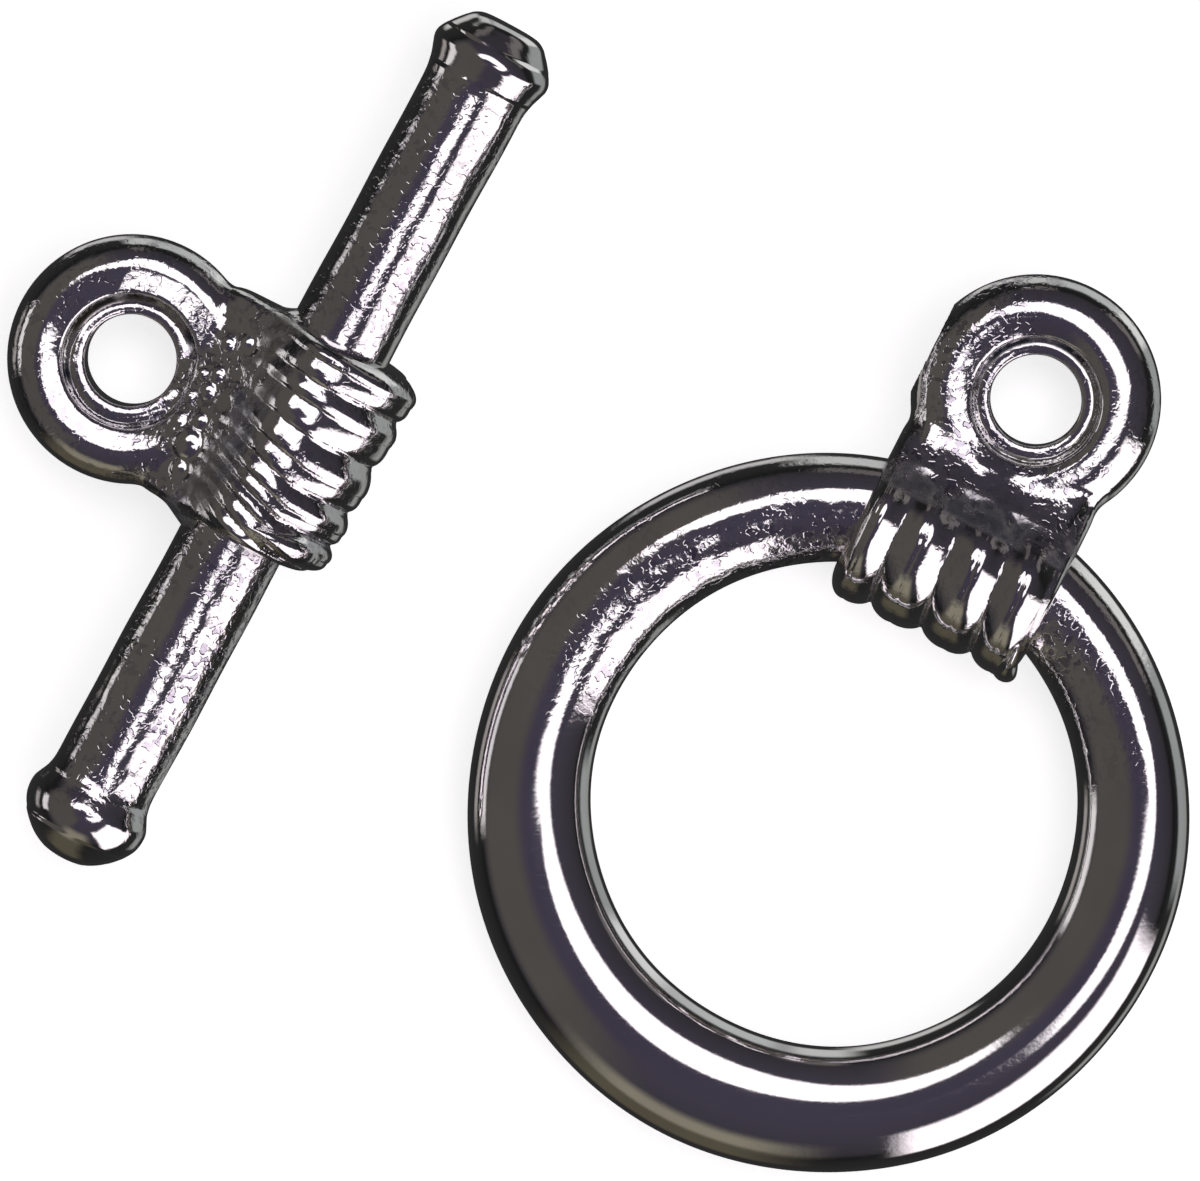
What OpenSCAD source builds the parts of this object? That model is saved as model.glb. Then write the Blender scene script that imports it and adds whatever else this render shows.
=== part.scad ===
// Two-piece toggle clasp, unfastened, each half lying flat on a surface at z = 0.
// The ring half is a round hoop that carries a collar of cast coils, a short neck and a small eye.
// The bar half is a straight bar with a knob at each end, and the same collar, neck and eye halfway.
// Millimetres. The origin is the middle of the pair, on the surface that it lies on.

/* [Hoop] */
// Outside diameter of the hoop
hoop_d = 15; // [14:0.1:20]
// Diameter of the opening that the bar goes through
opening_d = 10.15; // [8:0.05:10.5]
// How far the opening is off the hoop's centre, towards the eye, so that the far side is thicker
opening_shift = 0.25; // [0.05:0.05:0.5]
// Width of the flat left along the crest of the hoop at its narrowest place
crest_flat = 0.1; // [0.05:0.05:0.4]

/* [Bar] */
// Length of the toggle bar over both knobs
bar_len = 19.7; // [16:0.1:28]
// Diameter of the toggle bar
bar_d = 2.2; // [1.6:0.05:2.4]
// Diameter of the knob at each end of the bar
knob_d = 2.65; // [2.5:0.05:3.2]
// Length of the rounded end of the knob at the foot of the bar
foot_dome = 1.1; // [0.4:0.05:1.2]
// Length of the rounded end of the knob at the head of the bar
head_dome = 0.8; // [0.4:0.05:1.2]
// Length over which the bar flares out to a knob
knob_flare = 0.5; // [0.2:0.05:1.5]

/* [Eye] */
// Outside diameter of each eye
eye_d = 5.2; // [4.8:0.05:6.4]
// Thickness of each eye
eye_t = 1.7; // [1.65:0.05:2]
// Diameter of the hole in each eye
eye_hole_d = 1.9; // [1:0.05:2.2]
// Length of the straight wall of the hole, halfway through the eye
eye_hole_len = 0.7; // [0.3:0.05:1.2]
// Diameter of the dish round the hole, at the face of the eye
dish_d = 2.8; // [2.4:0.05:3.2]

/* [Ring collar] */
// Number of coils in the collar on the hoop
ring_coils = 4; // [3:1:5]
// Distance from coil to coil on the hoop
ring_coil_pitch = 0.98; // [0.8:0.02:1.1]
// Thickness of the cast wire of the coils on the hoop
ring_wire_d = 1.4; // [1.2:0.05:1.6]
// Diameter over the coils on the hoop
ring_collar_d = 4.2; // [3.9:0.05:4.6]
// How far the straight collar's axis is inside the hoop's curved centre line
collar_dip = 0.15; // [0:0.05:0.3]
// Distance from the collar's axis to the centre of the ring's eye
ring_eye_reach = 3.4; // [3.3:0.05:4.2]

/* [Bar collar] */
// Number of coils in the collar on the bar
bar_coils = 5; // [3:1:7]
// Distance from coil to coil on the bar
bar_coil_pitch = 0.86; // [0.7:0.02:1]
// Thickness of the cast wire of the coils on the bar
bar_wire_d = 1.2; // [1.1:0.05:1.4]
// Diameter over the coils on the bar
bar_collar_d = 4; // [3.8:0.05:4.4]
// Distance from the bar's axis to the centre of the bar's eye
bar_eye_reach = 3.63; // [3.4:0.01:4.4]

/* [Neck] */
// Thickness of the neck between a collar and its eye
neck_t = 1.6; // [1.2:0.05:1.6]
// Width of the ring's neck between the centres of its rounded edges, at the collar's axis
ring_neck_foot = 2.7; // [1.6:0.05:3]
// Width of the ring's neck between the centres of its rounded edges, inside the eye
ring_neck_top = 2.7; // [1.4:0.05:3]
// Width of the bar's neck between the centres of its rounded edges, at the bar's axis
bar_neck_foot = 4.55; // [2.5:0.05:5]
// Width of the bar's neck between the centres of its rounded edges, inside the eye
bar_neck_top = 1.75; // [1.2:0.05:2.4]
// Distance from the centre of the eye to where the neck ends inside it
neck_end = 1.35; // [1.2:0.05:1.6]
// Radius of the hollow sweep from the coils down to the face of the eye
saddle_r = 1.15; // [0.9:0.05:1.3]
// Distance from the centre of the eye to the lowest line of that sweep
saddle_back = 1.65; // [1.5:0.05:1.9]
// Height of the sweep's lowest line above the face of the neck
saddle_lift = 0.05; // [0.03:0.01:0.15]
// How far the flat of the neck is sunk below its rounded edges
neck_sink = 0.04; // [0.02:0.01:0.2]
// How far the ring collar's flat back stands below the underside of the hoop
back_stand = 0.05; // [0.03:0.01:0.2]

/* [Layout] */
// Direction in which the bar lies, from +X
bar_turn = 61.6; // [30:0.1:80]
// Direction of the ring's eye from the hoop's centre, from +X
eye_turn = 63.5; // [30:0.1:90]
// Clear space between the hoop and the bar's knobs, across the bar
halves_gap = 4.76; // [2:0.01:10]
// Distance along the bar from its middle to the hoop's centre
ring_slide = -1.43; // [-4:0.01:4]

/* [Hidden] */

// Facets round the hoop, the sweeps, the eyes, the small rounds, and a coil's own wire
HOOP_FN = 120;
SWEEP_FN = 96;
EYE_FN = 60;
ROUND_FN = 48;
WIRE_FN = 24;
// Reach of a cut past the metal that it cuts
CUT = 0.75;
// Shares of the crest's flat: the strip behind each rim's half round, and the web's lap over that strip
STRIP_SHARE = 0.45;
LAP_SHARE = 0.25;

hoop_r = hoop_d / 2;
opening_r = opening_d / 2;
hoop_narrow = hoop_r - opening_r - opening_shift;
// The hoop is as high as its narrowest place is wide, less the flat crest
hoop_h = hoop_narrow - crest_flat;
hoop_edge = hoop_h / 2;
// Depth of the ring collar's flat back below the middle of the hoop
ring_back = hoop_edge + back_stand;
collar_y = opening_r + opening_shift + hoop_narrow / 2 - collar_dip;

knob_r = knob_d / 2;
eye_r = eye_d / 2;
dish_slope = (dish_d - eye_hole_d) / (eye_t - eye_hole_len);
ring_collar_len = (ring_coils - 1) * ring_coil_pitch + ring_wire_d;
bar_collar_len = (bar_coils - 1) * bar_coil_pitch + bar_wire_d;

// Step from the middle of the bar to the centre of the hoop
halves_apart = knob_r + halves_gap + hoop_r;
step_x = ring_slide * cos(bar_turn) + halves_apart * sin(bar_turn);
step_y = ring_slide * sin(bar_turn) - halves_apart * cos(bar_turn);
// Reach of the bar half to the left, over its eye, and upwards, over its head knob
reach_left = bar_eye_reach * sin(bar_turn) + eye_r;
reach_up = (bar_len / 2 - head_dome) * sin(bar_turn) + (knob_r - head_dome) * cos(bar_turn) + head_dome;
bar_x = (reach_left - step_x - hoop_r) / 2;
bar_y = (hoop_r - step_y - reach_up) / 2;

// A round bar of radius r in the XY plane from point a to point b
module edge_bar(a, b, r) {
    run = b - a;
    translate([a.x, a.y, 0])
        rotate([0, 90, atan2(run.y, run.x)])
            cylinder(r = r, h = norm(run), $fn = ROUND_FN);
}

// The hoop: two rounded rims about centres opening_shift apart, joined by a flat web between them
module hoop() {
    lap = crest_flat * LAP_SHARE;
    rotate_extrude($fn = HOOP_FN)
        rounded_rim(hoop_r - hoop_edge, 1);
    translate([0, opening_shift, 0])
        rotate_extrude($fn = HOOP_FN)
            rounded_rim(opening_r + hoop_edge, -1);
    linear_extrude(height = hoop_h, center = true)
        difference() {
            circle(r = hoop_r - hoop_edge - lap, $fn = HOOP_FN);
            translate([0, opening_shift])
                circle(r = opening_r + hoop_edge + lap, $fn = HOOP_FN);
        }
}

// Section of a rim: a half round that faces out (side = 1) or in (side = -1), and a strip behind it
module rounded_rim(r, side) {
    strip = crest_flat * STRIP_SHARE;
    intersection() {
        translate([r, 0])
            circle(r = hoop_edge, $fn = ROUND_FN);
        translate([side > 0 ? r : r - hoop_edge, -hoop_edge])
            square([hoop_edge, hoop_h]);
    }
    translate([side > 0 ? r - strip : r, -hoop_edge])
        square([strip, hoop_h]);
}

// Half the section of a collar: round coils side by side on a core that closes the space inside them
module collar_section(coils, pitch, wire_d, over_d) {
    coil_r = (over_d - wire_d) / 2;
    last = (coils - 1) / 2 * pitch;
    for (i = [0 : coils - 1])
        translate([coil_r, i * pitch - last])
            circle(d = wire_d, $fn = WIRE_FN);
    translate([0, -last])
        square([coil_r, 2 * last]);
}

// Turns a half section about the X axis
module turned_along_x() {
    rotate([0, 90, 0])
        rotate_extrude($fn = ROUND_FN)
            children();
}

// Cuts a collar about the X axis: a hollow sweep towards the eye on both faces, and a flat back
module swept_collar(length, over_d, reach, back) {
    sweep_z = neck_t / 2 + saddle_lift + saddle_r;
    difference() {
        children();
        for (face = [-1, 1])
            translate([0, reach - saddle_back, face * sweep_z])
                rotate([0, 90, 0])
                    cylinder(r = saddle_r, h = length + CUT, center = true, $fn = SWEEP_FN);
        translate([-(length + CUT) / 2, -over_d, -back - over_d])
            cube([length + CUT, 2 * over_d, over_d]);
    }
}

// A neck from the X axis towards the eye: a flat web with a round bar along each edge
module neck(foot, top, reach) {
    end_y = reach - neck_end;
    for (side = [-1, 1])
        edge_bar([side * foot / 2, 0], [side * top / 2, end_y], neck_t / 2);
    linear_extrude(height = neck_t - 2 * neck_sink, center = true)
        polygon([[-foot / 2, 0], [foot / 2, 0], [top / 2, end_y], [-top / 2, end_y]]);
}

// The body of an eye: a thick disc with a full round rim
module eye_disc() {
    rim_r = eye_r - eye_t / 2;
    rotate_extrude($fn = EYE_FN) {
        translate([rim_r, 0])
            circle(d = eye_t, $fn = ROUND_FN);
        translate([0, -eye_t / 2])
            square([rim_r, eye_t]);
    }
}

// The hole in an eye: a short straight wall with a dish at both faces
module eye_hole() {
    end_z = eye_t / 2 + CUT;
    end_r = eye_hole_d / 2 + (end_z - eye_hole_len / 2) * dish_slope;
    rotate_extrude($fn = EYE_FN)
        polygon([
            [0, -end_z],
            [end_r, -end_z],
            [eye_hole_d / 2, -eye_hole_len / 2],
            [eye_hole_d / 2, eye_hole_len / 2],
            [end_r, end_z],
            [0, end_z]
        ]);
}

// Half the section of the toggle bar, with its foot knob below and its head knob above
module bar_section() {
    foot_z = -bar_len / 2 + foot_dome;
    head_z = bar_len / 2 - head_dome;
    polygon([
        [0, foot_z],
        [knob_r, foot_z],
        [bar_d / 2, foot_z + knob_flare],
        [bar_d / 2, head_z - knob_flare],
        [knob_r, head_z],
        [0, head_z]
    ]);
    translate([0, head_z])
        knob_section(head_dome);
    translate([0, foot_z])
        mirror([0, 1])
            knob_section(foot_dome);
}

// Half the section of a knob's rounded end
module knob_section(dome) {
    intersection() {
        union() {
            translate([knob_r - dome, 0])
                circle(r = dome, $fn = ROUND_FN);
            square([knob_r - dome, dome]);
        }
        square([knob_r, dome]);
    }
}

// The ring half, with the hoop's centre at the origin and the eye towards +Y
module toggle_ring() {
    eye_y = collar_y + ring_eye_reach;
    color("silver")
        translate([bar_x + step_x, bar_y + step_y, ring_back])
            rotate(eye_turn - 90)
                difference() {
                    union() {
                        hoop();
                        translate([0, collar_y, 0]) {
                            swept_collar(ring_collar_len, ring_collar_d, ring_eye_reach, ring_back)
                                turned_along_x()
                                    collar_section(ring_coils, ring_coil_pitch, ring_wire_d, ring_collar_d);
                            neck(ring_neck_foot, ring_neck_top, ring_eye_reach);
                        }
                        translate([0, eye_y, 0])
                            eye_disc();
                    }
                    translate([0, eye_y, 0])
                        eye_hole();
                }
}

// The bar half, with the bar along +X and the eye towards +Y
module toggle_bar() {
    color("silver")
        translate([bar_x, bar_y, knob_r])
            rotate(bar_turn)
                difference() {
                    union() {
                        swept_collar(bar_collar_len, bar_collar_d, bar_eye_reach, knob_r)
                            turned_along_x() {
                                bar_section();
                                collar_section(bar_coils, bar_coil_pitch, bar_wire_d, bar_collar_d);
                            }
                        neck(bar_neck_foot, bar_neck_top, bar_eye_reach);
                        translate([0, bar_eye_reach, 0])
                            eye_disc();
                    }
                    translate([0, bar_eye_reach, 0])
                        eye_hole();
                }
}

toggle_ring();
toggle_bar();
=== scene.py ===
import math

import bpy
import numpy as np
from mathutils import Matrix, Vector


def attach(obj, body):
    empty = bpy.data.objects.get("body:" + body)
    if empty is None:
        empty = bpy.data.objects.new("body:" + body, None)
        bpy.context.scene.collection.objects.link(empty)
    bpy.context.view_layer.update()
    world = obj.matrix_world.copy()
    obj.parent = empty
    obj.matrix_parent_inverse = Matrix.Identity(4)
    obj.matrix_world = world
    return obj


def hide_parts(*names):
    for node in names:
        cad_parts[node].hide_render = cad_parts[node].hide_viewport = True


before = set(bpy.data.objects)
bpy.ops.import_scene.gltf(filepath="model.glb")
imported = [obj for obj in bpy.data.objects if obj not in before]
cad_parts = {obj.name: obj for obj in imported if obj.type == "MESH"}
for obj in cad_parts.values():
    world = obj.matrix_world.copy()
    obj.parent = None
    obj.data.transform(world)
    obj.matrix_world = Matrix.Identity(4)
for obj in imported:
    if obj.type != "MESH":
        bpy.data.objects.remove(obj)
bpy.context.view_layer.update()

# The hoop of the ring half, which the toggle bar is passed through. It is cast in zinc alloy in one piece
# with its winding, neck and eye, and its opening sits a little off centre, so the far side is thicker.
# A faint seam from the two halves of the mould runs round it, outside and inside.
MM = 0.001
RING_TURN = math.radians(63.5 - 90.0)
RING_PLACE = (4.7815, -4.6149, 1.0875)
HOOP_R, HOOP_HALF_HEIGHT = 7.5, 1.04
OPENING_R, OPENING_OFF = 5.07, (0.03, 0.25)
SEAM_HEIGHT, SEAM_SPREAD = 0.012, 0.05
# The polisher's hand leaves the hoop a few hundredths of a millimetre off true
SLOW_WAVE, QUICK_WAVE = 0.012, 0.008
# Towards the right its section is a little egg-shaped, with the crown nearer the outside
EGG_SHARE, EGG_BEARING, EGG_SPREAD = 0.13, 0.07, 0.45
HOOP_RINGS, HOOP_AROUND = 540, 72
# The polishing wheel misses the hoop's side towards the opening, up to so many degrees from the winding
MISSED_RIGHT, MISSED_LEFT, MISSED_FADE = 60, 100, 30


def turned(vectors, turn):
    """Turns vectors about Z."""
    c, s = math.cos(turn), math.sin(turn)
    x, y, z = vectors.T
    return np.stack([x * c - y * s, x * s + y * c, z], axis=1)


def laid_down(points, turn, place):
    """Turns points in millimetres about Z and lays them in their place, in metres."""
    return (turned(points, turn) + place) * MM


def grows(value, start, end):
    """0 at start, growing evenly to 1 at end, and level beyond both."""
    return np.clip((value - start) / (end - start), 0, 1)


def tube_faces(rings, around, closed):
    """Faces of a tube of rings of corners, closed on itself or open at its two ends."""
    i = np.arange(rings if closed else rings - 1)[:, None]
    j = np.arange(around)[None, :]
    a, b = i * around, ((i + 1) % rings) * around
    return np.stack([a + j, a + (j + 1) % around, b + (j + 1) % around, b + j], axis=2).reshape(-1, 4)


def hoop_mesh():
    """The hoop's corners and faces, and how far each corner faces outward, from -1 to 1."""
    along = np.linspace(0, 2 * math.pi, HOOP_RINGS, endpoint=False)[:, None]
    round_ = np.linspace(0, 2 * math.pi, HOOP_AROUND, endpoint=False)[None, :]
    ox, oy = OPENING_OFF
    off = ox * np.cos(along) + oy * np.sin(along)
    inner = off + np.sqrt(off**2 - ox**2 - oy**2 + OPENING_R**2)
    middle, half = (HOOP_R + inner) / 2, (HOOP_R - inner) / 2
    wave = SLOW_WAVE * np.sin(3 * along + 0.7) * np.cos(2 * round_)
    wave = wave + QUICK_WAVE * np.sin(7 * along + 2 * round_)
    seam = SEAM_HEIGHT * np.exp(-((np.sin(round_) / SEAM_SPREAD) ** 2))
    from_right = np.arctan2(np.sin(along + RING_TURN), np.cos(along + RING_TURN))
    egg = EGG_SHARE * np.exp(-(((from_right - EGG_BEARING) / EGG_SPREAD) ** 2))
    rho = middle + (np.cos(round_) + egg * np.sin(round_) ** 2) * (half + wave + seam)
    height = np.sin(round_) * (HOOP_HALF_HEIGHT + wave * 0.5)
    points = np.stack([rho * np.cos(along), rho * np.sin(along), height], axis=2).reshape(-1, 3)
    outward = np.broadcast_to(np.cos(round_), rho.shape).reshape(-1)
    return points, tube_faces(HOOP_RINGS, HOOP_AROUND, True), outward


def beside_winding(x, half_length):
    """1 in the corner beside a winding about the X axis, where painted shade darkens the plate, and 0 on the free
    metal.
    """
    return np.clip(1.5 - 3.0 * (np.abs(x) - half_length), 0, 1)


def casting(name, points, faces, recess_shade, unpolished, normals=None):
    """Makes a piece of a casting. recess is 1 deep in a groove, where painted shade darkens the plate, and
    unpolished is 1 where the wheel can't reach.
    """
    mesh = bpy.data.meshes.new(name)
    mesh.from_pydata(points.tolist(), [], faces.tolist())
    mesh.polygons.foreach_set("use_smooth", [True] * len(mesh.polygons))
    for label, amount in (("recess_shade", recess_shade), ("unpolished", unpolished)):
        amount = np.broadcast_to(np.asarray(amount, np.float32), len(points))
        mesh.attributes.new(label, "FLOAT", "POINT").data.foreach_set("value", amount)
    mesh.validate()
    if normals is not None:
        mesh.normals_split_custom_set_from_vertices(normals.tolist())
    piece = bpy.data.objects.new(name, mesh)
    bpy.context.collection.objects.link(piece)
    return piece


def fed(tree, socket, value):
    """Gives a socket a value, or links it to another node's output."""
    if isinstance(value, bpy.types.NodeSocket):
        tree.links.new(value, socket)
    else:
        socket.default_value = value


def maths(tree, kind, *values):
    """A sum of one, two or three values, each a number or another node's output."""
    node = tree.nodes.new("ShaderNodeMath")
    node.operation = kind
    for socket, value in zip(node.inputs, values):
        fed(tree, socket, value)
    return node.outputs[0]


def eased(tree, value, low, high, to_low=0.0, to_high=1.0):
    """Takes low to to_low and high to to_high along a smooth S, and is level beyond both."""
    node = tree.nodes.new("ShaderNodeMapRange")
    node.interpolation_type = "SMOOTHSTEP"
    for label, given in (("Value", value), ("From Min", low), ("From Max", high),
                         ("To Min", to_low), ("To Max", to_high)):
        fed(tree, node.inputs[label], given)
    return node.outputs["Result"]


def mixed(tree, amount, a, b):
    """The colour a where amount is 0, and b where it is 1."""
    node = tree.nodes.new("ShaderNodeMix")
    node.data_type = "RGBA"
    fed(tree, node.inputs["Factor"], amount)
    fed(tree, node.inputs[6], a)
    fed(tree, node.inputs[7], b)
    return node.outputs[2]


def group_of(name, given, made):
    """A shader node group with its named inputs and outputs, each with its kind."""
    tree = bpy.data.node_groups.new(name, "ShaderNodeTree")
    for in_out, sockets in (("INPUT", given), ("OUTPUT", made)):
        for label, kind in sockets.items():
            tree.interface.new_socket(label, in_out=in_out, socket_type="NodeSocket" + kind)
    return tree, tree.nodes.new("NodeGroupInput").outputs, tree.nodes.new("NodeGroupOutput").inputs


def plate_skin():
    """The plated skin's colour, metal, roughness and relief, from cast peel, pits, polishing lines and painted
    shade in grooves and hollows.
    """
    tree, given, made = group_of(
        "Plate skin",
        {"Plate colour": "Color", "Shade colour": "Color", "Polish": "Float", "Recess shade": "Float",
         "Unpolished": "Float"},
        {"Colour": "Color", "Roughness": "Float", "Metallic": "Float", "Height": "Float"})
    where = tree.nodes.new("ShaderNodeTexCoord").outputs["Object"]
    violet_tint, pit_colour, blue_black = (0.68, 0.63, 0.68, 1), (0.36, 0.31, 0.42, 1), (0.05, 0.06, 0.08, 1)

    def noise(per_metre, detail, place=where):
        texture = tree.nodes.new("ShaderNodeTexNoise")
        texture.inputs["Scale"].default_value = per_metre
        texture.inputs["Detail"].default_value = detail
        tree.links.new(place, texture.inputs["Vector"])
        return texture.outputs["Fac"]

    # The lines that the polishing wheel leaves lie all one way
    wheel = tree.nodes.new("ShaderNodeMapping")
    wheel.inputs["Rotation"].default_value = (0, 0, 0.9)
    wheel.inputs["Scale"].default_value = (1.0, 14.0, 1.0)
    tree.links.new(where, wheel.inputs["Vector"])
    lines = noise(2200.0, 3.0, wheel.outputs["Vector"])
    grain = noise(7000.0, 2.0)
    swell = noise(1700.0, 1.0)
    cloud = noise(420.0, 2.0)
    pits = eased(tree, noise(6200.0, 1.0), 0.52, 0.62)
    left_rough = maths(tree, "MULTIPLY", given["Unpolished"], eased(tree, noise(900.0, 2.0), 0.36, 0.58, 0.25, 1.0))
    specks = maths(tree, "MULTIPLY", pits, left_rough)
    # Painted shade: grooves, hollows and the corners by the windings are darkened, mottled by noise, and there the
    # plate is also made less metallic and rougher
    painted_shade = maths(tree, "MULTIPLY", eased(tree, given["Recess shade"], 0.40, 0.95),
                    eased(tree, noise(1300.0, 3.0), 0.38, 0.60))

    tinted = mixed(tree, eased(tree, cloud, 0.40, 0.66, 0.0, 0.35), given["Plate colour"], violet_tint)
    tinted = mixed(tree, maths(tree, "MULTIPLY", specks, 0.75), tinted, pit_colour)
    # The painted shade's colour, dark brown clouded with blue-black
    dark = mixed(tree, eased(tree, cloud, 0.42, 0.58), given["Shade colour"], blue_black)
    tree.links.new(mixed(tree, painted_shade, tinted, dark), made["Colour"])
    tree.links.new(eased(tree, painted_shade, 0.0, 1.0, 1.0, 0.55), made["Metallic"])

    rough = maths(tree, "ADD", given["Polish"], eased(tree, lines, 0.45, 0.75, 0.0, 0.04))
    rough = maths(tree, "ADD", rough, maths(tree, "MULTIPLY", left_rough, 0.04))
    tree.links.new(maths(tree, "ADD", rough, maths(tree, "MULTIPLY", painted_shade, 0.28)), made["Roughness"])

    grain_share = maths(tree, "ADD", maths(tree, "MULTIPLY", left_rough, 0.92), 0.08)
    height = maths(tree, "MULTIPLY", grain, grain_share)
    height = maths(tree, "ADD", height, maths(tree, "MULTIPLY", cloud, 0.30))
    peel = maths(tree, "MULTIPLY", maths(tree, "MULTIPLY", swell, given["Unpolished"]), 3.6)
    height = maths(tree, "ADD", height, peel)
    tree.links.new(maths(tree, "SUBTRACT", height, maths(tree, "MULTIPLY", specks, 0.55)), made["Height"])
    return tree


plate_skin_group = plate_skin()
# The plate's own colour, and the dark brown of the painted shade in grooves and hollows
PLATE_COLOUR, SHADE_COLOUR = (0.86, 0.84, 0.83, 1), (0.11, 0.095, 0.075, 1)
RELIEF = 0.012 * MM


def polished_plate(name, polish):
    """Silver plate over the casting. polish is its roughness where the wheel has reached it."""
    material = bpy.data.materials.new(name)
    material.use_nodes = True
    tree = material.node_tree
    shader = tree.nodes["Principled BSDF"].inputs
    skin = tree.nodes.new("ShaderNodeGroup")
    skin.node_tree = plate_skin_group
    skin.inputs["Plate colour"].default_value = PLATE_COLOUR
    skin.inputs["Shade colour"].default_value = SHADE_COLOUR
    skin.inputs["Polish"].default_value = polish
    # Attributes: where painted shade darkens grooves and hollows, and where the wheel can't reach
    for label, socket in (("recess_shade", "Recess shade"), ("unpolished", "Unpolished")):
        amount = tree.nodes.new("ShaderNodeAttribute")
        amount.attribute_name = label
        tree.links.new(amount.outputs["Fac"], skin.inputs[socket])
    bump = tree.nodes.new("ShaderNodeBump")
    bump.inputs["Strength"].default_value = 1.0
    bump.inputs["Distance"].default_value = RELIEF
    tree.links.new(skin.outputs["Height"], bump.inputs["Height"])
    tree.links.new(bump.outputs["Normal"], shader["Normal"])
    tree.links.new(skin.outputs["Colour"], shader["Base Color"])
    tree.links.new(skin.outputs["Roughness"], shader["Roughness"])
    tree.links.new(skin.outputs["Metallic"], shader["Metallic"])
    return material


ring_silver = polished_plate("silver_cast_ring", 0.055)
points, faces, outward = hoop_mesh()
from_winding = np.degrees(np.abs(np.arctan2(points[:, 0], points[:, 1])))
missed_until = np.where(points[:, 0] > 0, MISSED_RIGHT, MISSED_LEFT)
unpolished = grows(from_winding, missed_until, missed_until - MISSED_FADE)
unpolished = unpolished * np.clip((0.45 - outward) / 0.5, 0.15, 1)
# Painted shade darkens the hoop in the corner beside the winding
recess_shade = 0.6 * beside_winding(points[:, 0], 2.0) * (points[:, 1] > 3)
hoop = casting("ring_hoop", laid_down(points, RING_TURN, RING_PLACE), faces, recess_shade, unpolished)
hoop.data.materials.append(ring_silver)
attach(hoop, "root")
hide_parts("toggle_ring")

# The ring half's winding, neck and eye. The winding looks like wire wound round the hoop, two strands side by
# side, but is cast with it, and on both faces it is swept down in a hollow to the neck, where its ridges end
# in small beads. The eye is a thick round rim with a sunk lip round its hole, for a jump ring.
RING_WINDING_Y = 6.2625
EYE_R, EYE_HALF, HOLE_R = 2.6, 0.85, 0.95
# The lip's half thickness, its crest and how fast it rounds off, and the radii that it lies between
LIP_HALF, LIP_CREST_R, LIP_ROUND, LIP_FROM, LIP_TO = 0.46, 1.10, 1.4, 0.90, 1.60
# How steeply the flat side of a rim falls towards the neck
RIM_FALL = 0.12
# The neck's half height, how much thinner it is at its sides, and where it starts inside the winding
NECK_HALF, NECK_THINS, NECK_START_Y = 1.6, 0.9, 0.8
# The sweep's height and length, and the gentle fall of both faces past it
SWEEP_HEIGHT, SWEEP_LENGTH = 1.12, 0.55
FALL_FROM_Y, FALL = 1.2, 0.25
# A strand's section is an arc: how round it is, and how deep it then is half way to the next strand
STRAND_ROUND, STRAND_DEPTH = 3.4, 0.613
# A strand that lies aslant falls over this share of its width
SHINGLE_LONG = 0.8
# Where the winding's top has a ridge between two flats, past its crown
RIDGE_PAST = math.radians(18)
# How strongly painted shade darkens the sweep, and the width over which it starts and ends
SWEEP_SHADE, SWEEP_SHADE_START, SWEEP_SHADE_END = 0.82, 0.3, 0.7
SKIN_STEP = 0.05


def soft_join(a, b, k):
    """The nearer of two distances, with a fillet of about k where they meet."""
    h = np.clip(0.5 + 0.5 * (b - a) / k, 0, 1)
    return b + (a - b) * h - k * h * (1 - h)


def soft_cut(a, b, k):
    """The further of two distances, with a rounded edge of about k where they meet."""
    return -soft_join(-a, -b, k)


def groove(share):
    """Depth of the groove beside a strand, 0 on its crown and 1 half way to the next one."""
    share = share - np.round(share)
    return (1 - np.sqrt(1 - STRAND_ROUND * share**2)) / STRAND_DEPTH


def shingle(share):
    """Depth of a strand that lies aslant: 0 on its high edge, falling evenly, and rising steeply to the next."""
    share = share - np.floor(share)
    even = np.where(share < SHINGLE_LONG, share / SHINGLE_LONG, (1 - share) / (1 - SHINGLE_LONG))
    return 0.6 * even + 0.4 * (0.5 - 0.5 * np.cos(math.pi * even))


def strands(x, turn, wound):
    """How far the coils and strands are sunk below the winding's crest, at a place along it and round it."""
    fan = grows(x, wound["fan_from"], wound["fan_from"] - 3) * np.clip((0.31 - turn) / 0.125, 0, 1.3)
    at = x - wound["slide"] * (turn - 0.5) - wound["fan"] * fan
    coil = np.interp(at, wound["coils"], np.arange(len(wound["coils"])))
    far = grows(turn, 0.26, 0.42)
    far = far * far * (3 - 2 * far)
    sunk = groove(coil) * wound["coil_far"] * far
    sunk = sunk + (0.5 - 0.5 * np.cos(2 * math.pi * coil)) * wound["coil_top"] * (1 - far)
    sunk = sunk + groove(2 * coil + 0.5) * wound["strand"] * (1 - 0.3 * far)
    return sunk + shingle(2 * coil) * wound["shingle"] * (1 - 0.5 * far)


def neck_body(x, y, z, wound):
    """The neck, from inside the winding to inside the eye's rim, which thins towards its two sides."""
    part = grows(y, 0, wound["neck_top_y"])
    half = wound["neck_foot"] + (wound["neck_top"] - wound["neck_foot"]) * part
    aside = np.abs(x - wound["neck_off"] * (1 - part)) - half
    neck = soft_cut(aside, np.abs(z) - NECK_HALF + NECK_THINS * grows(aside, -0.60, -0.15), 0.40)
    neck = np.maximum(neck, np.maximum(NECK_START_Y - y, wound["neck_end"] - np.hypot(x, y - wound["eye_y"])))
    return np.maximum(neck, y - wound["eye_y"] + wound["neck_end"] * 0.8)


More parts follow.
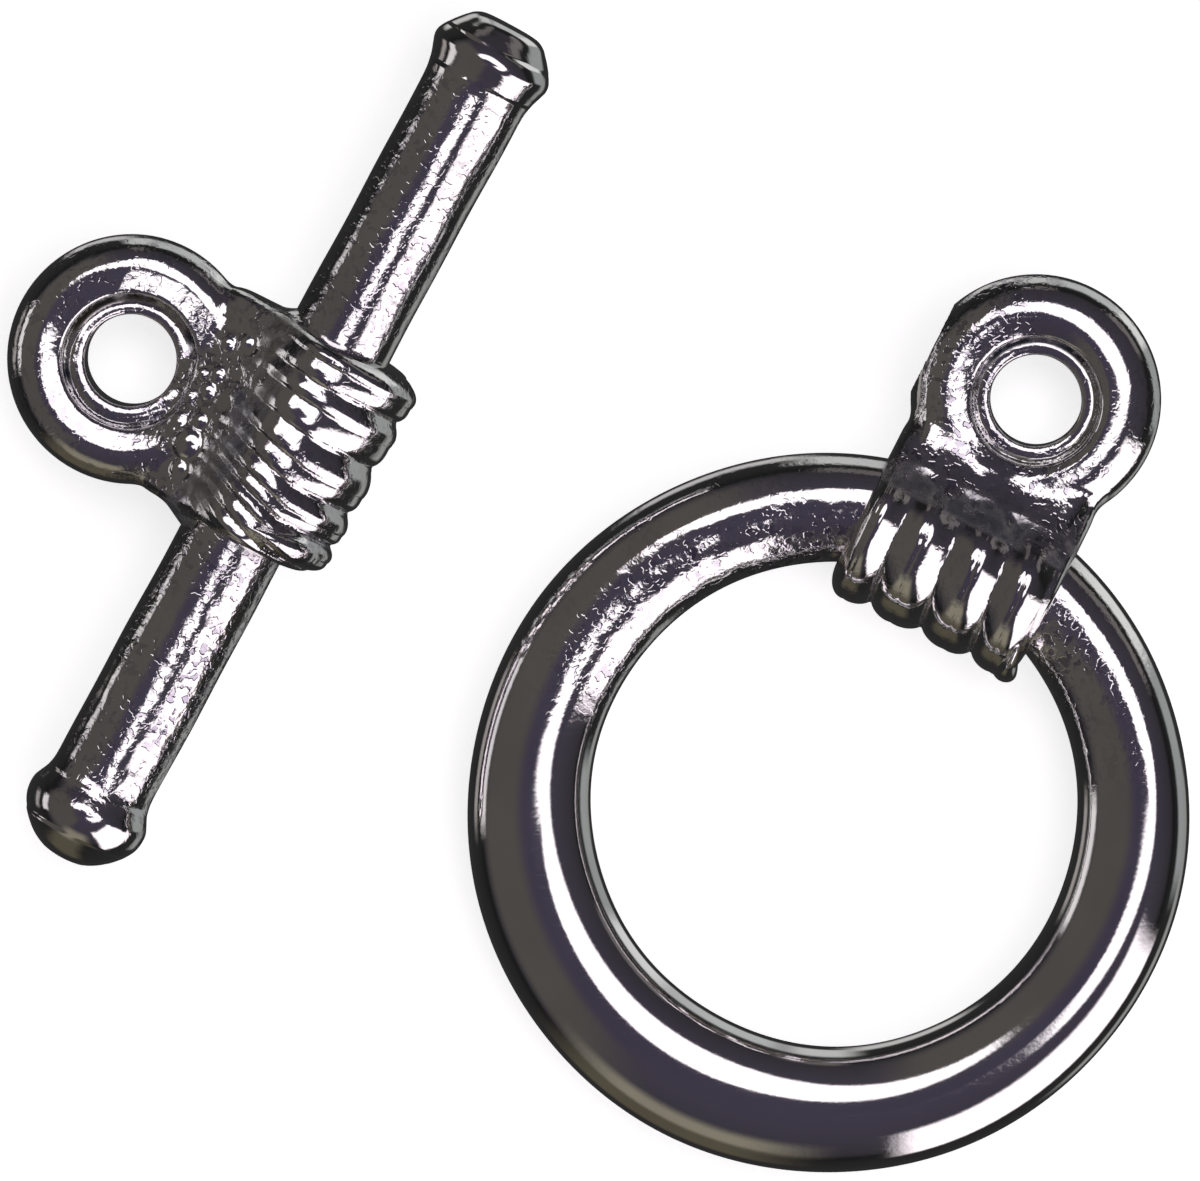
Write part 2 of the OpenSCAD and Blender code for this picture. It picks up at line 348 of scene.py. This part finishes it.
def eye_body(x, y, z, crest, swing, inner, hollow, slant):
    """The eye about its own middle: a thick rim, hollow inside its crest, and the sunk lip round its hole."""
    r = np.hypot(x, y)
    # The crest lies nearer the hole on the side of +X
    crest = crest - swing * x / np.maximum(r, 0.5)
    # Where the lip is aslant, one side of the rim is flat instead of hollow, and falls a little towards the neck
    flat = np.clip(0.5 + x / 1.2, 0, 1) * (slant > 0)
    high = np.abs(z) + RIM_FALL * flat * np.clip(0.6 - y, -0.3, 2.2)
    outer = (np.hypot((r - crest) / (EYE_R - crest), high / EYE_HALF) - 1) * EYE_HALF
    share = np.clip((crest - r) / (crest - inner), 0, 1.5)
    inside = soft_cut((high - EYE_HALF + hollow * share**1.4 * (1 - flat)) * 0.95, inner - r, 0.10)
    rim = np.where(r > crest, outer, inside)
    lip = np.abs(z + slant * x * np.sign(z)) - LIP_HALF + LIP_ROUND * (r - LIP_CREST_R) ** 2
    lip = np.maximum(lip, np.abs(r - (LIP_FROM + LIP_TO) / 2) - (LIP_TO - LIP_FROM) / 2)
    return soft_join(rim, lip, 0.05), HOLE_R - r


def winding_and_eye(x, y, z, wound):
    """The field of a winding about the X axis, its neck towards +Y, and its eye."""
    # The winding's back is full and its crown is a little nearer the eye than the axis
    rho = np.hypot((y - wound["crown_y"]) / (1 + wound["crown_y"] / wound["crest_r"]), z)
    # The turn is 0 towards the eye, a quarter on the top and a half at the far side
    turn = (np.arctan2(z, y) / (2 * math.pi) + 0.25) % 1 - 0.25
    sunk = strands(x, turn, wound)
    # It is not quite round: its top is a little flatter on either side of a line just past the crown
    past = np.arctan2(wound["crown_y"] - y, np.abs(z)) - RIDGE_PAST
    facet = wound["facet"] * np.cos(10 * past) * np.clip((1 - np.abs(past)) / 0.35, 0, 1)
    collar = (rho - wound["crest_r"] * (1 + facet) + sunk) * 0.85
    collar = soft_cut(collar, np.abs(x - wound["middle"]) - wound["half_length"], 0.45)
    collar = soft_join(collar, neck_body(x, y, z, wound), 0.10)
    # The hollow sweep down to the neck, on both faces, which the strands run into and fade on
    drop = SWEEP_HEIGHT * np.exp(-(y - wound["sweep_from"]) / SWEEP_LENGTH)
    low = wound["sweep_low"] - FALL * np.clip(y - FALL_FROM_Y, 0, 2)
    above = (np.abs(z) - low - drop) / np.sqrt(1 + (drop / SWEEP_LENGTH) ** 2)
    collar = soft_cut(collar, above + 0.6 * sunk * np.clip(drop, 0, 1), 0.45)
    for bx, by, br in wound["beads"]:
        bz = wound["sweep_low"] - FALL * (by - FALL_FROM_Y) + wound["bead_up"]
        bead = (np.sqrt((x - bx) ** 2 + (y - by) ** 2 + ((np.abs(z) - bz) / 0.6) ** 2) - br * 1.12) * 0.7
        collar = soft_join(collar, bead, 0.06)
    # A leaf is the loose end of a strand, which lies on the winding and widens from its tip
    for lx, turn_tip, turn_end, wide in wound["leaves"]:
        t = (turn - (turn_tip + turn_end) / 2) / ((turn_end - turn_tip) / 2)
        across = (x - lx) / (wide * np.clip(0.62 + 0.38 * t, 0.2, 1))
        leaf = (np.sqrt(across**2 + t**2 + ((rho - wound["crest_r"] + 0.14) / 0.24) ** 2) - 1) * 0.24
        collar = soft_join(collar, leaf, 0.03)
    eye, hole = eye_body(x, y - wound["eye_y"], z, *wound["rim"])
    body = soft_cut(soft_join(collar, eye, 0.14), -z - wound["back"], 0.12)
    return soft_cut(body, hole, 0.06)


def skin(field, low, high, step):
    """Walls the level surface of a field, in millimetres: corners set on it, faces, slopes, and how deep in a
    groove each corner lies, for the painted shade.
    """
    low = np.array(low, float)
    size = np.ceil((np.array(high) - low) / step).astype(int) + 1
    grid = [low[i] + step * np.arange(size[i]) for i in range(3)]
    value = field(*np.meshgrid(*grid, indexing="ij"))
    inside = value < 0
    corners = [(i, j, k) for i in (0, 1) for j in (0, 1) for k in (0, 1)]

    def at(block, c):
        return block[c[0]:size[0] - 1 + c[0], c[1]:size[1] - 1 + c[1], c[2]:size[2] - 1 + c[2]]

    # One corner of the mesh for each small cube that the surface passes through
    count = sum(at(inside, c).astype(np.int8) for c in corners)
    passed = (count > 0) & (count < 8)
    number = np.full(passed.shape, -1)
    number[passed] = np.arange(passed.sum())
    total, hits = np.zeros((passed.sum(), 3)), np.zeros(passed.sum())
    for c in corners:
        for axis in range(3):
            if c[axis]:
                continue
            d = tuple(1 if n == axis else v for n, v in enumerate(c))
            a, b = at(value, c)[passed], at(value, d)[passed]
            crossed = (a < 0) != (b < 0)
            total[crossed] += c
            total[crossed, axis] += a[crossed] / (a[crossed] - b[crossed])
            hits[crossed] += 1
    points = low + (np.argwhere(passed) + total / hits[:, None]) * step

    # One face for each edge between cubes that the surface crosses
    faces = []
    for axis in range(3):
        one, two = (axis + 1) % 3, (axis + 2) % 3
        before, after = [slice(None)] * 3, [slice(None)] * 3
        before[axis], after[axis] = slice(0, -1), slice(1, None)
        a, b = inside[tuple(before)], inside[tuple(after)]
        for out, pick in ((True, a & ~b), (False, ~a & b)):
            edges = np.argwhere(pick)
            around = []
            for s, t in ((-1, -1), (0, -1), (0, 0), (-1, 0)):
                cell = edges.copy()
                cell[:, one] += s
                cell[:, two] += t
                around.append(number[cell[:, 0], cell[:, 1], cell[:, 2]])
            faces.append(np.stack(around if out else around[::-1], axis=1))
    feel = step * 0.3

    def slope(p):
        rises = [field(*(p + d).T) - field(*(p - d).T) for d in np.eye(3) * feel]
        return np.stack(rises, axis=1) / (2 * feel)

    for _ in range(4):
        g = slope(points)
        move = field(*points.T)[:, None] * g / np.maximum((g**2).sum(1), 0.2)[:, None]
        points = points - np.clip(move, -step * 0.5, step * 0.5)
    normals = slope(points)
    normals /= np.linalg.norm(normals, axis=1)[:, None]
    # A groove is known by the metal that a feeler above the surface still finds near it, and painted shade darkens
    # it by as much
    feeler = 0.22
    recess_shade = np.clip(1 - field(*(points + feeler * normals).T) / feeler, 0, 1)
    return points, np.concatenate(faces), normals, recess_shade


ring_wound = {
    # Grooves between the coils, how far a coil slides along in one turn, and how the left ones fan out in front
    "coils": (-3.9, -2.8, -1.72, -0.62, 0.62, 1.68, 2.72, 3.8), "slide": 0.9, "fan": 0.15, "fan_from": 0.0,
    # Depths between the coils on the top and on the far side, between the strands, and of a strand's slant
    "coil_top": 0.19, "coil_far": 0.22, "strand": 0.035, "shingle": 0.0,
    # The winding's radius, flats, reach and middle, its crown's shift, and the depth of its flat back
    "crest_r": 2.12, "facet": 0.0, "half_length": 2.18, "middle": 0.0, "crown_y": 0.0, "back": 1.0875,
    # Where the sweep starts and how high it ends
    "sweep_from": 0.48, "sweep_low": 0.94,
    # The neck's half width at its foot and top, its shift, and how near the eye's middle it comes
    "neck_foot": 2.18, "neck_top": 2.12, "neck_top_y": 2.05, "neck_off": 0.0, "neck_end": 1.42,
    # The eye's middle, and its rim: the crest's radius and shift, the inner radius, the hollow and the lip's slant
    "eye_y": 3.4, "rim": (1.69, 0.17, 1.32, 0.13, 0.0),
    # Each bead's place and radius, and how far beads stand up
    "beads": ((-1.25, 1.18, 0.10), (-0.62, 1.30, 0.13), (0.95, 1.25, 0.09)), "bead_up": 0.03,
    # Each leaf's place, the turns of its tip and end, and its half width
    "leaves": ((1.95, 0.36, 0.50, 0.36),),
}
RING_EYE_Y = RING_WINDING_Y + ring_wound["eye_y"]
# The box that is walked for the mesh. It stops 0.2 mm short of the eye's left side, so the mesh is left open
# there, with a flat cut of 2.0 by 1.2 mm. A first value of -2.9 would close it.
RING_BOX = (-2.4, 3.9, -1.3), (2.9, 12.5, 2.3)


def ring_field(x, y, z):
    """The ring half's winding and eye, in the hoop's own millimetres."""
    return winding_and_eye(x, y - RING_WINDING_Y, z, ring_wound)


def sweep_shade(y, start, end):
    """Near 1 in the hollow sweep, where painted shade darkens the plate."""
    return SWEEP_SHADE * grows(y, start, start + SWEEP_SHADE_START) * grows(y, end, end - SWEEP_SHADE_END)


points, faces, normals, recess_shade = skin(ring_field, *RING_BOX, SKIN_STEP)
# Painted shade also darkens the hollow sweep down to the neck
recess_shade = np.maximum(recess_shade, sweep_shade(points[:, 1] - RING_WINDING_Y, 0.34, 1.75))
on_neck = grows(points[:, 1], RING_EYE_Y - 0.3, RING_EYE_Y - 1.2)
on_neck = on_neck * grows(points[:, 1], RING_WINDING_Y + 0.5, RING_WINDING_Y + 0.9)
left_of_eye = grows(points[:, 0], -0.5, -1.5) * (points[:, 1] > RING_EYE_Y - 1.5)
unpolished = 0.2 + 0.7 * np.maximum(on_neck, left_of_eye)
winding = casting("ring_winding_and_eye", laid_down(points, RING_TURN, RING_PLACE), faces, recess_shade, unpolished,
                  turned(normals, RING_TURN))
winding.data.materials.append(ring_silver)
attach(winding, "root")
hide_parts("toggle_ring")

# The toggle bar, a straight round bar cast in zinc alloy with a knob at each end, which keeps it from slipping
# back through the hoop. Each knob flares out from the bar. The foot is a blunt dome, and the head nearly flat.
BAR_TURN = math.radians(61.6)
BAR_PLACE = (-6.4884, 3.1044, 1.325)
BAR_R, BAR_HALF_LENGTH = 1.10, 9.85
BAR_RINGS, KNOB_RINGS, BAR_AROUND = 200, 60, 96
BAR_SEAM_HEIGHT, BAR_SEAM_SPREAD = 0.010, 0.07
# Flattening of the bar's section, its two waves, and the tiny hole left in the tip of a knob
BAR_FLATTEN, BAR_SLOW_WAVE, BAR_QUICK_WAVE, TIP_R = 0.055, 0.008, 0.006, 0.0005
# Places from a knob's end and radii
FOOT = ((0, 0), (0.015, 0.25), (0.07, 0.50), (0.22, 0.78), (0.42, 1.00), (0.64, 1.18), (0.86, 1.29), (1.08, 1.325),
        (1.26, 1.31), (1.42, 1.24), (1.58, 1.165), (1.78, 1.115), (2.0, BAR_R))
HEAD = ((0, 0), (0.004, 0.40), (0.02, 0.66), (0.09, 0.80), (0.26, 0.96), (0.46, 1.12), (0.63, 1.235), (0.75, 1.285),
        (0.87, 1.29), (1.02, 1.245), (1.24, 1.17), (1.5, 1.115), (1.75, BAR_R))


def smooth_profile(table, steps):
    """A smooth line through a short table of places and radii."""
    table = np.array(table)
    run = np.concatenate([[0], np.cumsum(np.hypot(*np.diff(table, axis=0).T))])
    slopes = np.gradient(table, run, axis=0)
    at = np.linspace(0, run[-1], steps)
    n = np.clip(np.searchsorted(run, at, side="right") - 1, 0, len(run) - 2)
    h = (run[n + 1] - run[n])[:, None]
    t = (at - run[n])[:, None] / h
    return ((2 * t**3 - 3 * t**2 + 1) * table[n] + (t**3 - 2 * t**2 + t) * h * slopes[n]
            + (3 * t**2 - 2 * t**3) * table[n + 1] + (t**3 - t**2) * h * slopes[n + 1])


def bar_mesh():
    """The bar from the tip of its foot to the tip of its head, along X: corners and faces."""
    foot, head = smooth_profile(FOOT, KNOB_RINGS), smooth_profile(HEAD, KNOB_RINGS)
    shank = np.linspace(FOOT[-1][0] - BAR_HALF_LENGTH, BAR_HALF_LENGTH - HEAD[-1][0], BAR_RINGS)[1:-1]
    x = np.concatenate([foot[:, 0] - BAR_HALF_LENGTH, shank, BAR_HALF_LENGTH - head[::-1, 0]])[:, None]
    r = np.concatenate([foot[:, 1], np.full(len(shank), BAR_R), head[::-1, 1]])[:, None]
    r = np.maximum(r, TIP_R)
    round_ = np.linspace(0, 2 * math.pi, BAR_AROUND, endpoint=False)[None, :]
    # Its section is a little oval, worn flatter on the side away from the eye
    r = r * (1 + BAR_FLATTEN * np.cos(2 * (round_ - math.pi / 4)) * grows(r, 0.5, 1.0) * (r < 1.15))
    wave = BAR_SLOW_WAVE * np.sin(0.9 * x + 0.5) * np.cos(2 * round_)
    wave = wave + BAR_QUICK_WAVE * np.sin(2.3 * x + 3 * round_)
    seam = BAR_SEAM_HEIGHT * np.exp(-((np.sin(round_) / BAR_SEAM_SPREAD) ** 2))
    r = r + wave * (r > 0.5) + seam * (r > 0.9)
    points = np.stack([x + 0 * r, r * np.cos(round_), r * np.sin(round_)], axis=2).reshape(-1, 3)
    return points, tube_faces(len(x), BAR_AROUND, False)


bar_silver = polished_plate("silver_cast_bar", 0.06)
points, faces = bar_mesh()
# Roughest towards the foot on the side away from the eye, and worn smooth on the knobs
unpolished = 0.45 + 0.55 * grows(points[:, 1], 0.1, -0.4) * grows(points[:, 0], -1.5, -3.0)
unpolished = unpolished * np.clip((9.0 - np.abs(points[:, 0])) / 0.8, 0.15, 1)
# Painted shade darkens the bar on either side of its winding
recess_shade = 0.6 * beside_winding(points[:, 0], 2.2)
bar = casting("toggle_bar_shank", laid_down(points, BAR_TURN, BAR_PLACE), faces, recess_shade, unpolished)
bar.data.materials.append(bar_silver)
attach(bar, "root")
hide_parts("toggle_bar")

# The bar half's winding, neck and eye, cast with the bar. The winding is finer than the ring's, its strands lie
# aslant like shingles, the neck spreads along the bar, and the eye is the same but for a flat on one side.
bar_wound = {
    # The same lines of sizes as the ring half's
    "coils": (-3.5, -2.5, -1.75, -1.12, -0.21, 1.02, 1.91, 2.8, 3.7), "slide": -0.75, "fan": 0.42, "fan_from": 1.6,
    "coil_top": 0.02, "coil_far": 0.15, "strand": 0.045, "shingle": 0.075,
    "crest_r": 2.02, "facet": 0.006, "half_length": 2.32, "middle": 0.10, "crown_y": 0.35, "back": 1.325,
    "sweep_from": 0.55, "sweep_low": 0.90,
    "neck_foot": 3.12, "neck_top": 1.80, "neck_top_y": 2.5, "neck_off": 0.05, "neck_end": 1.66,
    "eye_y": 3.63, "rim": (1.90, 0.0, 1.40, 0.14, 0.13),
    "beads": ((0.24, 1.88, 0.19), (0.20, 1.45, 0.17), (-0.62, 2.10, 0.16), (-0.39, 1.72, 0.19), (-0.90, 1.70, 0.32),
              (1.50, 1.60, 0.20), (1.30, 1.98, 0.17), (0.64, 1.86, 0.16), (-1.45, 1.62, 0.20), (0.86, 1.52, 0.15),
              (-0.05, 2.16, 0.12), (0.50, 2.16, 0.11), (-1.15, 2.05, 0.14)), "bead_up": 0.08,
    "leaves": ((-1.74, 0.26, 0.43, 0.40),),
}
BAR_BOX = (-3.3, -2.3, -1.5), (3.3, 6.5, 2.3)


def bar_field(x, y, z):
    """The bar half's winding and eye, in the bar's own millimetres."""
    return winding_and_eye(x, y, z, bar_wound)


def off_beads(x, y, beads):
    """0 on the beads, which stand up, are rubbed smooth and are kept free of painted shade, and 1 beside them."""
    return np.min([np.clip(np.hypot(x - bx, y - by) / br * 2.5 - 2.2, 0, 1) for bx, by, br in beads], axis=0)


points, faces, normals, recess_shade = skin(bar_field, *BAR_BOX, SKIN_STEP)
beside_beads = off_beads(points[:, 0], points[:, 1], bar_wound["beads"])
# Painted shade also darkens the hollow sweep, but not the beads
recess_shade = np.maximum(recess_shade, sweep_shade(points[:, 1], 0.40, 2.1)) * beside_beads
# The neck is left rougher than the eye, and the winding's back is rubbed smooth
unpolished = 0.35 + 0.55 * grows(points[:, 1], 3.3, 2.4)
unpolished = unpolished * np.clip((points[:, 1] - 0.6) / 0.5, 0.4, 1) * beside_beads
winding = casting("bar_winding_and_eye", laid_down(points, BAR_TURN, BAR_PLACE), faces, recess_shade, unpolished,
                  turned(normals, BAR_TURN))
winding.data.materials.append(bar_silver)
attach(winding, "root")
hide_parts("toggle_bar")

# The pale table that both halves lie on, a hundredth of a millimetre below them. It is kept out of the metal's
# reflections, which show the studio, and glows a little, so that it stays as white as paper.
bpy.ops.mesh.primitive_circle_add(vertices=96, radius=1.2, fill_type="NGON", location=(0, 0, -0.01 * MM))
table = bpy.context.object
table.name = "table"
paper = bpy.data.materials.new("pale_table")
paper.use_nodes = True
shader = paper.node_tree.nodes["Principled BSDF"].inputs
shader["Base Color"].default_value = (0.9, 0.9, 0.9, 1)
shader["Roughness"].default_value = 0.9
shader["Specular IOR Level"].default_value = 0.0
shader["Emission Color"].default_value = (1, 1, 1, 1)
shader["Emission Strength"].default_value = 0.75
table.data.materials.append(paper)
table.visible_glossy = False

# The studio: soft white cards round the table, a round soft box over it, and a dark dome behind them. The
# polished plate mirrors all of it. The camera sees a plain white backdrop instead.
world = bpy.data.worlds.new("studio")
bpy.context.scene.world = world
world.use_nodes = True
room = world.node_tree
direction = room.nodes.new("ShaderNodeTexCoord").outputs["Generated"]
parts = room.nodes.new("ShaderNodeSeparateXYZ")
room.links.new(direction, parts.inputs[0])
# The direction's bearing round the upright and its rise over the table
bearing = maths(room, "ARCTAN2", parts.outputs["Y"], parts.outputs["X"])
rise = maths(room, "ARCSINE", parts.outputs["Z"])

# Each card: its bearing, its height over the table, half its width and height, its soft edge, and its light
CARDS = (
    (170, 44, 62, 30, 10, (0.085, 0.078, 0.072)),
    (-54, 17, 26, 27, 3.5, (1.50, 1.40, 1.48)),
    (34, 4, 14, 6, 3, (0.16, 0.15, 0.15)),
    (86, 4, 8, 6, 3, (0.13, 0.12, 0.12)),
    (-115, 16, 17, 14, 9, (0.25, 0.23, 0.18)),
    (34, -33, 14, 17, 5, (0.75, 0.77, 0.76)),
    (88, -33, 9, 17, 5, (0.55, 0.57, 0.56)),
    (61, -33, 17, 17, 5, (0.50, 0.52, 0.52)),
    (2, -33, 20, 17, 5, (0.32, 0.34, 0.34)),
    (-28, -47, 28, 9, 5, (0.30, 0.31, 0.30)),
    (-118, -14, 18, 18, 8, (0.095, 0.085, 0.06)),
    (113, -50, 16, 11, 6, (0.55, 0.55, 0.55)),
    (172, 6, 15, 7, 3, (0.80, 0.77, 0.78)),
    (174, -18, 13, 6, 4, (0.35, 0.33, 0.32)),
)
# The dome, from straight down (0) over the table's edge (0.5) to straight up (1)
DOME = ((0.0, (0.03, 0.03, 0.03)), (0.40, (0.02, 0.02, 0.02)), (0.52, (0.012, 0.012, 0.012)),
        (0.60, (0.035, 0.033, 0.04)), (0.85, (0.05, 0.045, 0.062)), (1.0, (0.055, 0.048, 0.075)))
# The soft box, in degrees from the upright: its axis and middle, radius, cut-off side and soft edge
BOX_AXIS, BOX_MIDDLE, BOX_R, BOX_CUT, BOX_EDGE = 39.3, (12.0, 2.0), 30.0, 3.5, 2.0
BOX_LIGHT = (1.5, 1.43, 1.50)
# The dark camera in front of it: the bearing and reach of each of its three sides, with their soft edges
CAMERA_SIDES = ((47.8, 8.5, 11.5), (102.7 + 180.0, 7.5, 10.0), (102.7, 11.0, 15.0))


def card_mask():
    """The mask of one card, from the bearing and rise of a direction. All its inputs are in radians."""
    labels = ("Bearing", "Rise", "Turn", "Height", "Half width", "Half height", "Edge")
    tree, given, made = group_of("Light card", dict.fromkeys(labels, "Float"), {"Mask": "Float"})

    def side(angle, half):
        start = maths(tree, "SUBTRACT", half, given["Edge"])
        end = maths(tree, "ADD", half, given["Edge"])
        return eased(tree, maths(tree, "ABSOLUTE", angle), start, end, 1.0, 0.0)

    turn_away = maths(tree, "SUBTRACT", given["Bearing"], given["Turn"])
    turn_away = maths(tree, "WRAP", turn_away, math.pi, -math.pi)
    rise_away = maths(tree, "SUBTRACT", given["Rise"], given["Height"])
    across = side(turn_away, given["Half width"])
    upright = side(rise_away, given["Half height"])
    tree.links.new(maths(tree, "MULTIPLY", across, upright), made["Mask"])
    return tree


def lean(toward):
    """How far a direction leans from the upright towards one side, in radians."""
    node = room.nodes.new("ShaderNodeVectorMath")
    node.operation = "DOT_PRODUCT"
    node.inputs[1].default_value = (math.cos(math.radians(toward)), math.sin(math.radians(toward)), 0)
    room.links.new(direction, node.inputs[0])
    return maths(room, "ARCSINE", node.outputs["Value"])


def within(value, start, end):
    """1 up to start, falling softly to 0 at end, in degrees."""
    return eased(room, value, math.radians(start), math.radians(end), 1.0, 0.0)


dome = room.nodes.new("ShaderNodeValToRGB")
half_turn = room.nodes.new("ShaderNodeMapRange")
half_turn.inputs["From Min"].default_value = -1.0
room.links.new(parts.outputs["Z"], half_turn.inputs["Value"])
room.links.new(half_turn.outputs["Result"], dome.inputs["Fac"])
stops = dome.color_ramp.elements
for place, _ in DOME[1:-1]:
    stops.new(place)
for stop, (_, colour) in zip(stops, DOME):
    stop.color = (*colour, 1)

light = dome.outputs["Color"]
card_group = card_mask()
for turn, height, half_width, half_height, edge, colour in CARDS:
    card = room.nodes.new("ShaderNodeGroup")
    card.node_tree = card_group
    room.links.new(bearing, card.inputs["Bearing"])
    room.links.new(rise, card.inputs["Rise"])
    for label, angle in (("Turn", turn), ("Height", height), ("Half width", half_width),
                         ("Half height", half_height), ("Edge", edge)):
        card.inputs[label].default_value = math.radians(angle)
    light = mixed(room, card.outputs["Mask"], light, (*colour, 1))

over, aside = lean(BOX_AXIS), lean(BOX_AXIS + 90.0)
off_over = maths(room, "SUBTRACT", over, math.radians(BOX_MIDDLE[0]))
off_aside = maths(room, "SUBTRACT", aside, math.radians(BOX_MIDDLE[1]))
squares = [maths(room, "MULTIPLY", off, off) for off in (off_over, off_aside)]
from_middle = maths(room, "SQRT", maths(room, "ADD", *squares))
box = within(from_middle, BOX_R - BOX_EDGE, BOX_R + BOX_EDGE)
below = maths(room, "MULTIPLY", over, -1.0)
box = maths(room, "MULTIPLY", box, within(below, BOX_CUT - BOX_EDGE, BOX_CUT + BOX_EDGE))
camera_dark = 1.0
for toward, start, end in CAMERA_SIDES:
    camera_dark = maths(room, "MULTIPLY", within(lean(toward), start, end), camera_dark)
box = maths(room, "MULTIPLY", box, maths(room, "SUBTRACT", 1.0, camera_dark))
box = maths(room, "MULTIPLY", box, maths(room, "GREATER_THAN", parts.outputs["Z"], 0.0))
light = mixed(room, box, light, (*BOX_LIGHT, 1))

mirrored = room.nodes["Background"]
room.links.new(light, mirrored.inputs["Color"])
backdrop = room.nodes.new("ShaderNodeBackground")
backdrop.inputs["Color"].default_value = (0.98, 0.98, 0.98, 1)
seen = room.nodes.new("ShaderNodeLightPath")
choice = room.nodes.new("ShaderNodeMixShader")
room.links.new(seen.outputs["Is Camera Ray"], choice.inputs["Fac"])
room.links.new(mirrored.outputs["Background"], choice.inputs[1])
room.links.new(backdrop.outputs["Background"], choice.inputs[2])
room.links.new(choice.outputs["Shader"], room.nodes["World Output"].inputs["Surface"])
bpy.context.scene.view_settings.view_transform = "Standard"

# The camera looks nearly straight down, tipped a few degrees towards the head of the bar, from far enough
# away that the clasp is hardly drawn together by perspective.
CAMERA_AWAY = 0.32
TILT, TOWARD = math.radians(5.0), math.radians(58.0)
PICTURE_WIDTH, SENSOR_WIDTH = 24.93 * MM, 36
AIM = np.array([0.052, 0.042, 1.3]) * MM
camera_data = bpy.data.cameras.new("camera")
camera_data.sensor_width = SENSOR_WIDTH
camera_data.lens = SENSOR_WIDTH * CAMERA_AWAY / PICTURE_WIDTH
camera_data.clip_start, camera_data.clip_end = 0.01, 10
camera = bpy.data.objects.new("camera", camera_data)
bpy.context.collection.objects.link(camera)
z_axis = Vector((math.sin(TILT) * math.cos(TOWARD), math.sin(TILT) * math.sin(TOWARD), math.cos(TILT)))
x_axis = Vector((0, 1, 0)).cross(z_axis).normalized()
y_axis = z_axis.cross(x_axis)
camera.location = AIM + np.array(z_axis) * CAMERA_AWAY
camera.rotation_euler = Matrix((x_axis, y_axis, z_axis)).transposed().to_euler()
bpy.context.scene.camera = camera
